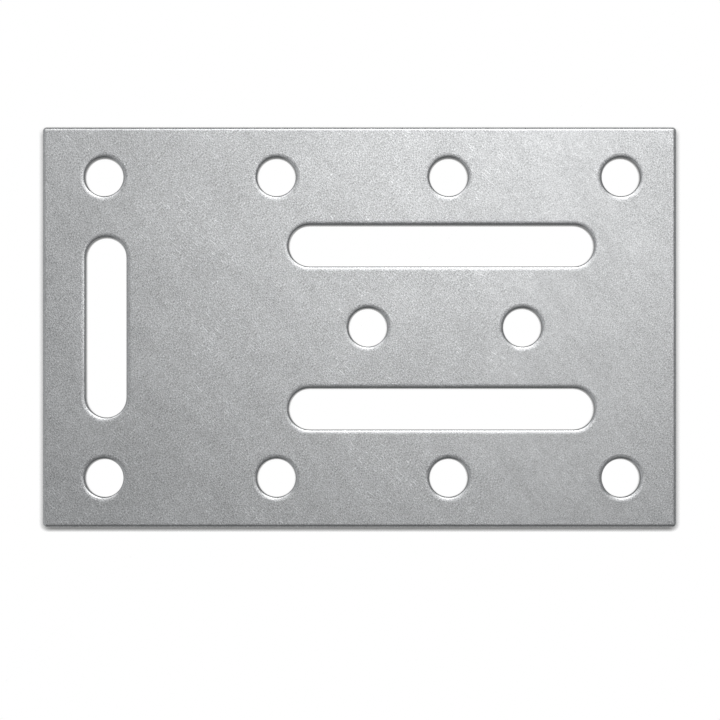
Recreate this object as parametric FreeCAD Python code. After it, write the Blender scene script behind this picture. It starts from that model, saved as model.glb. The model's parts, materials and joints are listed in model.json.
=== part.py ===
import FreeCAD, Part
import math
import os

# A flat mending plate, punched from one piece of sheet steel. It lies on its underside, with the
# origin under its centre, +X along its length and +Z out of the face that the punches entered.

# Blank
length = 80.0
width = 50.5
thickness = 2.5
corner_radius = 0.5

# Sheared edge round the outline and every opening: the face rolls over into a straight
# burnished land, and below the land the metal breaks away at a slight slope
outline_roll_width = 0.45
outline_roll_depth = 0.3
opening_roll_width = 0.55
opening_roll_depth = 0.2
breakout_width = 0.07
breakout_height = 0.8

# Round screw holes: two rows along the long edges, and a pair on the centre line
hole_diameter = 4.9
side_margin = 6.25
column_count = 4
left_margin = 7.75
right_margin = 7.0
centre_pair_spacing = 19.5
centre_pair_from_left = 50.8

# Two long slots side by side, along the plate
long_slot_width = 5.25
long_slot_spacing = 20.6
long_slots_from_left = 31.05
long_slots_from_right = 10.35

# One short slot across the plate
short_slot_width = 5.15
short_slot_length = 22.8
short_slot_from_left = 8.0

ORIGIN = FreeCAD.Vector(0, 0, 0)
UP = FreeCAD.Vector(0, 0, 1)


def point(across, height):
    """A point of a section drawn in the XZ plane."""
    return FreeCAD.Vector(across, 0, height)


def line(start, end):
    return Part.LineSegment(start, end).toShape()


def half_section(reach, side):
    """The face between the middle of a block and its sheared edge.

    The land stands at reach from the middle. The roll, a quarter of an ellipse, and the
    break-out leave it towards the metal: inwards (side -1) on the blank, outwards (side 1) on
    what is punched out of it.
    """
    roll_width = outline_roll_width if side < 0 else opening_roll_width
    roll_depth = outline_roll_depth if side < 0 else opening_roll_depth
    roll_centre = point(reach + side * roll_width, thickness - roll_depth)
    crest = point(reach + side * roll_width, thickness)
    shoulder = point(reach, thickness - roll_depth)
    roll = Part.Arc(Part.Ellipse(shoulder, crest, roll_centre), 0, math.pi / 2).toShape()
    land_foot = point(reach, breakout_height)
    foot = point(reach + side * breakout_width, 0)
    outline = [
        line(ORIGIN, foot),
        line(foot, land_foot),
        line(land_foot, shoulder),
        roll,
        line(crest, point(0, thickness)),
        line(point(0, thickness), ORIGIN),
    ]
    return Part.Face(Part.Wire(outline))


def post(radius, side):
    """A round post with the sheared edge all round it."""
    return half_section(radius, side).revolve(ORIGIN, UP, 360)


def bar(half_width, run, side):
    """A straight bar along Y with a sheared edge on both sides."""
    right = half_section(half_width, side)
    left = right.rotated(ORIGIN, UP, 180)
    travel = FreeCAD.Vector(0, run, 0)
    solid = right.extrude(travel).fuse(left.extrude(travel))
    return solid.translated(-travel / 2)


def sheared_block(size_x, size_y, radius, side):
    """A block with round corners and a sheared edge: a rectangle, a slot or a disc."""
    reach_x = size_x / 2 - radius
    reach_y = size_y / 2 - radius
    corners = {(x, y) for x in (-reach_x, reach_x) for y in (-reach_y, reach_y)}
    round_post = post(radius, side)
    pieces = [round_post.translated(FreeCAD.Vector(x, y, 0)) for x, y in sorted(corners)]
    if reach_y > 0:
        pieces.append(bar(size_x / 2, 2 * reach_y, side))
    if reach_x > 0:
        pieces.append(bar(size_y / 2, 2 * reach_x, side).rotated(ORIGIN, UP, 90))
    if len(pieces) == 1:
        return pieces[0]
    return pieces[0].fuse(pieces[1:]).removeSplitter()


def blank():
    return sheared_block(length, width, corner_radius, -1)


def hole_places():
    """The centres of the round holes: the columns of both rows, then the centre pair."""
    first_column = left_margin - length / 2
    column_pitch = (length - left_margin - right_margin) / (column_count - 1)
    row = width / 2 - side_margin
    places = []
    for column in range(column_count):
        x = first_column + column * column_pitch
        places += [(x, -row), (x, row)]
    pair_middle = centre_pair_from_left - length / 2
    places += [(pair_middle + side * centre_pair_spacing / 2, 0) for side in (-1, 1)]
    return places


def holes():
    punch = sheared_block(hole_diameter, hole_diameter, hole_diameter / 2, 1)
    return [punch.translated(FreeCAD.Vector(x, y, 0)) for x, y in hole_places()]


def long_slots():
    left_end = long_slots_from_left - length / 2
    right_end = length / 2 - long_slots_from_right
    punch = sheared_block(right_end - left_end, long_slot_width, long_slot_width / 2, 1)
    middle = (left_end + right_end) / 2
    offset = long_slot_spacing / 2
    return [punch.translated(FreeCAD.Vector(middle, y, 0)) for y in (-offset, offset)]


def short_slot():
    punch = sheared_block(short_slot_width, short_slot_length, short_slot_width / 2, 1)
    return punch.translated(FreeCAD.Vector(short_slot_from_left - length / 2, 0, 0))


def mending_plate():
    openings = holes() + long_slots() + [short_slot()]
    return blank().cut(openings).removeSplitter()


os.makedirs("parts", exist_ok=True)
mending_plate().exportStep("parts/mending_plate.step")
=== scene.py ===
import bpy
import json
import math
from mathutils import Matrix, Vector

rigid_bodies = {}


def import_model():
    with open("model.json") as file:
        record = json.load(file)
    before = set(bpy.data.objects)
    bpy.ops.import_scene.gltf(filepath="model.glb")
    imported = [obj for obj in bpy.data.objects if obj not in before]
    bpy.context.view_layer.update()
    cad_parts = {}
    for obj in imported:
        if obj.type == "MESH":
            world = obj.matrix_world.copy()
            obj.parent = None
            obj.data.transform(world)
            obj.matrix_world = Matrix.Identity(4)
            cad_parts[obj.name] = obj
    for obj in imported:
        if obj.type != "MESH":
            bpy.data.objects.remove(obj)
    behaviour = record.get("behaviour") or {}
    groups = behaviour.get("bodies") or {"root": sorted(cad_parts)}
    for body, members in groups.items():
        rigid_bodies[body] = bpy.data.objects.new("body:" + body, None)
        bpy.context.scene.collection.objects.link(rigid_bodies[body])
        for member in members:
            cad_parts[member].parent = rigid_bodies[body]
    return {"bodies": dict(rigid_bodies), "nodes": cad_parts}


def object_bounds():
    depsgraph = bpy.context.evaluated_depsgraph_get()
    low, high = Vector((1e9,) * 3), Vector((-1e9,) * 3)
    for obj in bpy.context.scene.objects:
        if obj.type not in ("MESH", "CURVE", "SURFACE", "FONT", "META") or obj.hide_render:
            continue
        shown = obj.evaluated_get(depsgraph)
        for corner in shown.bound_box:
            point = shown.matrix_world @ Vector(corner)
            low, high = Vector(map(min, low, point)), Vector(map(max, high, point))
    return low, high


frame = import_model()

MM = 0.001

# Steel: how light and how rough its faces, rolls and cut walls are, and how deep its grain is
FACE_LEVEL = 0.567
WALL_LEVEL = 0.42
RED_CAST = 0.99
BLUE_CAST = 1.008
FACE_ROUGHNESS = 0.42
ROLL_ROUGHNESS = 0.25
WALL_ROUGHNESS = 0.38
GRAIN_DEPTH = 0.008 * MM

# The upward part of the normal where a face becomes a roll and where a roll becomes a wall, and
# the heights between which a wall's smooth land gives way to its torn foot
ROLL_NORMAL = (0.998, 0.95)
WALL_NORMAL = (0.5, 0.3)
TORN_HEIGHT = (0.95 * MM, 0.7 * MM)

# Along the plate the grain streaks turn from one diagonal to the other, over a ragged stretch. In the colour
# this turn is painted sheen: the streaks are drawn lighter and darker the way the lamp's highlight catches
# them on either side.
GRAIN_AND_SHEEN_TURNS = (20.0 * MM, 50.0 * MM)
GRAIN_AND_SHEEN_TURN_RAGGED = 20.0 * MM

# Scratches: how strong they are to the left and to the right of that stretch. They lighten the colour: real
# scratches with a painted glint, strong on the side where the lamp would catch them.
LEFT_SCRATCHES_AND_GLINTS = 0.4
RIGHT_SCRATCHES_AND_GLINTS = 0.08

# Table: white and right under the plate, with a painted shadow only a line wide. The painted shadow leans as
# if the light came from above and behind, so the plate darkens it in front.
TABLE_HALF = 1.5
TABLE_DROP = 0.01 * MM
TABLE_LEVEL = 0.7
PAINTED_SHADOW_LEAN = math.radians(52)
SHADOW_SAMPLES = 8
SHADOW_POWER = 1.9
SHADOW_REACH_IN_OPENINGS = 0.25 * MM
SHADOW_REACH_OUTSIDE = 0.75 * MM
OUTLINE_INSETS = (1.0 * MM, 0.5 * MM)

# Table as the steel mirrors it, with painted shade near the plate
MIRRORED_LEVEL = 0.9
MIRRORED_SHADE_REACH = 4.0 * MM

# Room: a level all round, and what is added towards a side. Each row has an axis, where along it
# the change starts and ends, and the amount.
ROOM_CAST = (0.97, 0.985, 1.0, 1)
ROOM_LEVEL = 0.12
ROOM_GLOWS = (
    ("Z", 0.5, 0.95, 0.15),
    ("Y", 0.4, 0.95, 0.08),
    ("X", -0.2, -0.6, 0.4),
    ("X", -0.7, -1.0, -0.2),
    ("X", 0.2, 0.9, 0.16),
)

# Lamps: where each stands, what it faces, its two sides, and its level, where 1 is white
KEY_LAMP = {"place": (0.025, 0.106, 0.2), "aim": (0.025, 0.106, 0.0), "size": (0.078, 0.226), "level": 2.22}
STRIP_LAMP = {"place": (-0.01, 0.23, 0.3), "aim": (0.0, 0.0, 0.0), "size": (0.45, 0.18), "level": 1.35}

# Camera: straight down on the plate, near enough to see a sliver of wall in the outer holes
PHOTO_PIXELS = 720
PLATE_PIXELS = 633.9
PLATE_MIDDLE_PIXEL = (359.6, 327.3)
CAMERA_LENS = 240.0
CAMERA_SENSOR = 36.0
CAMERA_CLIP = (0.1, 20.0)

WHITE = (1, 1, 1, 1)


def clear_default_objects():
    kept = set(frame["nodes"].values()) | set(frame["bodies"].values())
    for thing in list(bpy.data.objects):
        if thing not in kept:
            bpy.data.objects.remove(thing)


clear_default_objects()
cad_low, cad_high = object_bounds()
plate = frame["nodes"]["mending_plate"]


class Nodes:
    """A short way to write a node tree. A value is a number, a colour or another node's output."""

    def __init__(self, tree):
        self.tree = tree
        tree.nodes.clear()

    def add(self, kind, settings=None, **inputs):
        """A node. An input is given by its name, or by _ and its number."""
        node = self.tree.nodes.new(kind)
        for name, value in (settings or {}).items():
            setattr(node, name, value)
        for name, value in inputs.items():
            socket = node.inputs[int(name[1:])] if name[0] == "_" else node.inputs[name.replace("_", " ")]
            if isinstance(value, bpy.types.NodeSocket):
                self.tree.links.new(value, socket)
            else:
                socket.default_value = value
        return node

    def math(self, operation, first, second=0.0):
        return self.add("ShaderNodeMath", {"operation": operation}, _0=first, _1=second).outputs[0]

    def ramp(self, value, low, high, to_low=0.0, to_high=1.0):
        """An eased change of value from low to high."""
        settings = {"interpolation_type": "SMOOTHSTEP"}
        limits = {"From_Min": low, "From_Max": high, "To_Min": to_low, "To_Max": to_high}
        return self.add("ShaderNodeMapRange", settings, Value=value, **limits).outputs[0]

    def mix(self, factor, first, second):
        return self.add("ShaderNodeMix", {"data_type": "FLOAT"}, _0=factor, _2=first, _3=second).outputs[0]

    def total(self, *parts):
        """The sum of patterns, each measured from its middle and given a weight."""
        result = None
        for pattern, weight in parts:
            settings = {"operation": "MULTIPLY_ADD"}
            part = self.add("ShaderNodeMath", settings, _0=pattern, _1=weight, _2=-0.5 * weight).outputs[0]
            result = part if result is None else self.math("ADD", result, part)
        return result

    def part(self, vector, axis):
        return self.add("ShaderNodeSeparateXYZ", Vector=vector).outputs[axis]

    def moved(self, vector, shift):
        return self.add("ShaderNodeMapping", Vector=vector, Location=(shift, shift, shift)).outputs[0]

    def squeezed(self, vector, scale):
        return self.add("ShaderNodeMapping", Vector=vector, Scale=scale).outputs[0]

    def turned(self, vector, angle):
        turn = (0.0, 0.0, math.radians(angle))
        return self.add("ShaderNodeMapping", Vector=vector, Rotation=turn).outputs[0]

    def noise(self, vector, scale, detail=2.0, roughness=0.5):
        """A random pattern with scale cells to the metre."""
        node = self.add("ShaderNodeTexNoise", Vector=vector, Scale=scale, Detail=detail, Roughness=roughness)
        return node.outputs["Fac"]

    def scratches(self, place, angle, seed):
        """Short, thin, sparse scratches that run at an angle to the plate's length; in the colour they carry
        a painted glint.
        """
        turned = self.turned(place, angle)
        streaks_and_sheen = self.noise(self.moved(self.squeezed(turned, (0.12, 1.0, 1.0)), seed), 6800.0, 0.0)
        where = self.noise(self.moved(turned, seed), 160.0, 1.0)
        return self.math("MULTIPLY", self.ramp(streaks_and_sheen, 0.66, 0.8), self.ramp(where, 0.52, 0.64))


def new_nodes(material):
    material.use_nodes = True
    return Nodes(material.node_tree)


def steel_material():
    """Zinc-coated steel: a fine random grain on the faces, with painted sheen in its streaks and painted
    glints in its scratches, burnished rolls, and cut walls.
    """
    material = bpy.data.materials.new("zinc_coated_steel")
    n = new_nodes(material)
    place = n.add("ShaderNodeTexCoord").outputs["Object"]
    up = n.part(n.add("ShaderNodeNewGeometry").outputs["Normal"], "Z")
    on_roll = n.ramp(up, *ROLL_NORMAL)
    on_wall = n.ramp(up, *WALL_NORMAL)
    torn = n.math("MULTIPLY", on_wall, n.ramp(n.part(place, "Z"), *TORN_HEIGHT))
    # Painted sheen: where the grain's streaks turn, as the lamp's highlight would catch them.
    ragged = n.math("MULTIPLY", n.noise(place, 60.0), GRAIN_AND_SHEEN_TURN_RAGGED)
    right_of_sheen_turn = n.ramp(n.math("ADD", n.part(place, "X"), ragged), *GRAIN_AND_SHEEN_TURNS)

    grain = n.noise(n.turned(place, 29.0), 1500.0, 1.0)
    pits = n.noise(n.moved(n.turned(place, 17.0), 3.0), 6200.0, 0.0)
    left_streaks = n.noise(n.squeezed(n.turned(place, 45.0), (0.6, 1.1, 1.0)), 8000.0, 0.0)
    right_streaks = n.noise(n.squeezed(n.turned(place, -40.0), (0.65, 1.1, 1.0)), 8000.0, 0.0)
    streaks_and_sheen = n.mix(right_of_sheen_turn, left_streaks, right_streaks)
    bands = n.noise(n.squeezed(n.turned(place, 50.0), (0.3, 1.0, 1.0)), 540.0, 1.0)
    clouds = n.noise(place, 700.0, 3.0, 0.6)
    patches = n.noise(place, 110.0, 3.0, 0.5)
    # Painted glints: the scratches lighten the colour, more on the left than on the right.
    scratches_and_glints = n.math("ADD", n.scratches(place, 38.0, 5.0), n.scratches(place, 48.0, 9.0))
    scratches_and_glints = n.math("MULTIPLY", scratches_and_glints, n.mix(right_of_sheen_turn, LEFT_SCRATCHES_AND_GLINTS, RIGHT_SCRATCHES_AND_GLINTS))
    striations = n.noise(n.squeezed(place, (1.0, 1.0, 0.06)), 5200.0, 2.0, 0.6)
    tearing = n.noise(n.squeezed(place, (1.0, 1.0, 0.5)), 3200.0, 3.0, 0.7)

    # The face's colour: random grain and tone, with streaks and scratches that are partly painted sheen and
    # glints.
    face_tone = n.total((grain, 0.3), (streaks_and_sheen, 1.35), (clouds, 0.08), (bands, 0.2), (patches, 0.07))
    face_tone = n.math("ADD", n.math("MULTIPLY", face_tone, n.mix(on_roll, 1.0, 0.35)), scratches_and_glints)
    wall_tone = n.total((striations, 0.30), (tearing, 0.20))
    tone = n.math("ADD", 1.0, n.mix(on_wall, face_tone, wall_tone))
    level = n.math("MULTIPLY", n.mix(on_wall, FACE_LEVEL, WALL_LEVEL), tone)
    red = n.math("MULTIPLY", level, RED_CAST)
    blue = n.math("MULTIPLY", level, BLUE_CAST)
    color = n.add("ShaderNodeCombineColor", Red=red, Green=level, Blue=blue).outputs[0]

    off_face = n.mix(on_wall, ROLL_ROUGHNESS, WALL_ROUGHNESS)
    spread = n.total((clouds, 0.1), (patches, 0.12))
    roughness = n.math("ADD", n.mix(on_roll, FACE_ROUGHNESS, off_face), spread)

    top_relief = n.mix(on_roll, n.total((pits, 0.8), (streaks_and_sheen, 0.8)), n.total((pits, 0.12)))
    relief = n.mix(on_wall, top_relief, n.total((striations, 1.2)))
    relief = n.math("ADD", relief, n.math("MULTIPLY", torn, n.total((tearing, 4.0))))
    bump = n.add("ShaderNodeBump", Strength=1.0, Distance=GRAIN_DEPTH, Height=relief).outputs["Normal"]

    surface = {"Base_Color": color, "Metallic": 1.0, "Roughness": roughness, "Normal": bump}
    shader = n.add("ShaderNodeBsdfPrincipled", **surface)
    n.add("ShaderNodeOutputMaterial", Surface=shader.outputs[0])
    return material


def outside_the_plate(n):
    """1 on the table round the plate, 0 under the plate and in its openings."""
    position = n.add("ShaderNodeNewGeometry").outputs["Position"]
    beyond = []
    for axis, reach in (("X", cad_high.x), ("Y", cad_high.y)):
        distance = n.math("ABSOLUTE", n.part(position, axis))
        beyond.append(n.ramp(distance, *(reach - inset for inset in OUTLINE_INSETS)))
    return n.math("MAXIMUM", *beyond)


def table_material():
    """White to the eye, with a painted shadow only where the plate stands on it."""
    material = bpy.data.materials.new("floor")
    n = new_nodes(material)
    shadow = {"samples": SHADOW_SAMPLES}
    reach = n.ramp(outside_the_plate(n), 0.0, 1.0, SHADOW_REACH_IN_OPENINGS, SHADOW_REACH_OUTSIDE)
    painted_shadow_axis = n.add("ShaderNodeCombineXYZ", Y=math.sin(PAINTED_SHADOW_LEAN), Z=math.cos(PAINTED_SHADOW_LEAN)).outputs[0]
    # Painted shadow: the table's white is dimmed by how much the plate fills the space near each point,
    # leaned towards the back.
    painted_contact_shadow = n.add("ShaderNodeAmbientOcclusion", shadow, Distance=reach, Normal=painted_shadow_axis).outputs["AO"]
    # Painted shade on the table as the steel mirrors it, darker within a few millimetres of the plate.
    painted_nearby_shade = n.add("ShaderNodeAmbientOcclusion", shadow, Distance=MIRRORED_SHADE_REACH).outputs["AO"]
    white = n.add("ShaderNodeEmission", Color=WHITE, Strength=n.math("POWER", painted_contact_shadow, SHADOW_POWER))
    mirrored_with_painted_shade = n.add("ShaderNodeEmission", Color=WHITE, Strength=n.math("MULTIPLY", painted_nearby_shade, MIRRORED_LEVEL))
    matt = n.add("ShaderNodeBsdfDiffuse", Color=(TABLE_LEVEL, TABLE_LEVEL, TABLE_LEVEL, 1))
    ray = n.add("ShaderNodeLightPath").outputs
    seen = n.math("MAXIMUM", ray["Is Camera Ray"], ray["Is Transmission Ray"])
    unseen = n.add("ShaderNodeMixShader", _0=ray["Is Glossy Ray"], _1=matt.outputs[0], _2=mirrored_with_painted_shade.outputs[0])
    surface = n.add("ShaderNodeMixShader", _0=seen, _1=unseen.outputs[0], _2=white.outputs[0])
    n.add("ShaderNodeOutputMaterial", Surface=surface.outputs[0])
    return material


def make_table():
    mesh = bpy.data.meshes.new("floor")
    corners = ((-1, -1), (1, -1), (1, 1), (-1, 1))
    height = cad_low.z - TABLE_DROP
    mesh.from_pydata([(x * TABLE_HALF, y * TABLE_HALF, height) for x, y in corners], [], [(0, 1, 2, 3)])
    mesh.materials.append(table_material())
    floor = bpy.data.objects.new("floor", mesh)
    bpy.context.scene.collection.objects.link(floor)


def make_room():
    """White behind the plate, and a dim room with lighter sides for the steel to mirror."""
    room = bpy.data.worlds.new("studio")
    bpy.context.scene.world = room
    n = new_nodes(room)
    direction = n.add("ShaderNodeTexCoord").outputs["Generated"]
    glow = ROOM_LEVEL
    for axis, start, end, amount in ROOM_GLOWS:
        glow = n.math("ADD", glow, n.ramp(n.part(direction, axis), start, end, 0.0, amount))
    seen = n.add("ShaderNodeLightPath").outputs["Is Camera Ray"]
    dim = n.add("ShaderNodeBackground", Color=ROOM_CAST, Strength=glow)
    white = n.add("ShaderNodeBackground", Color=WHITE, Strength=1.0)
    mix = n.add("ShaderNodeMixShader", _0=seen, _1=dim.outputs[0], _2=white.outputs[0])
    n.add("ShaderNodeOutputWorld", Surface=mix.outputs[0])


def make_softbox(name, place, aim, size, level):
    """A lamp whose surface shines at a level, unseen by the camera."""
    light = bpy.data.lights.new(name, "AREA")
    light.shape = "RECTANGLE"
    light.size, light.size_y = size
    light.energy = level * math.pi * size[0] * size[1]
    lamp = bpy.data.objects.new(name, light)
    bpy.context.scene.collection.objects.link(lamp)
    lamp.location = place
    lamp.rotation_euler = (Vector(aim) - Vector(place)).to_track_quat("-Z", "Y").to_euler()
    lamp.visible_camera = False


def make_camera():
    """A camera right above the middle of the picture."""
    pixel = (cad_high.x - cad_low.x) / PLATE_PIXELS
    distance = PHOTO_PIXELS * pixel * CAMERA_LENS / CAMERA_SENSOR
    right, down = ((PHOTO_PIXELS / 2 - middle) * pixel for middle in PLATE_MIDDLE_PIXEL)
    data = bpy.data.cameras.new("camera")
    data.lens = CAMERA_LENS
    data.sensor_width = CAMERA_SENSOR
    data.clip_start, data.clip_end = CAMERA_CLIP
    camera = bpy.data.objects.new("camera", data)
    bpy.context.scene.collection.objects.link(camera)
    camera.location = (right, -down, cad_high.z + distance)
    bpy.context.scene.camera = camera


plate.data.materials.clear()
plate.data.materials.append(steel_material())
make_table()
make_room()
make_softbox("key", **KEY_LAMP)
make_softbox("strip", **STRIP_LAMP)
make_camera()
bpy.context.scene.view_settings.view_transform = "Standard"
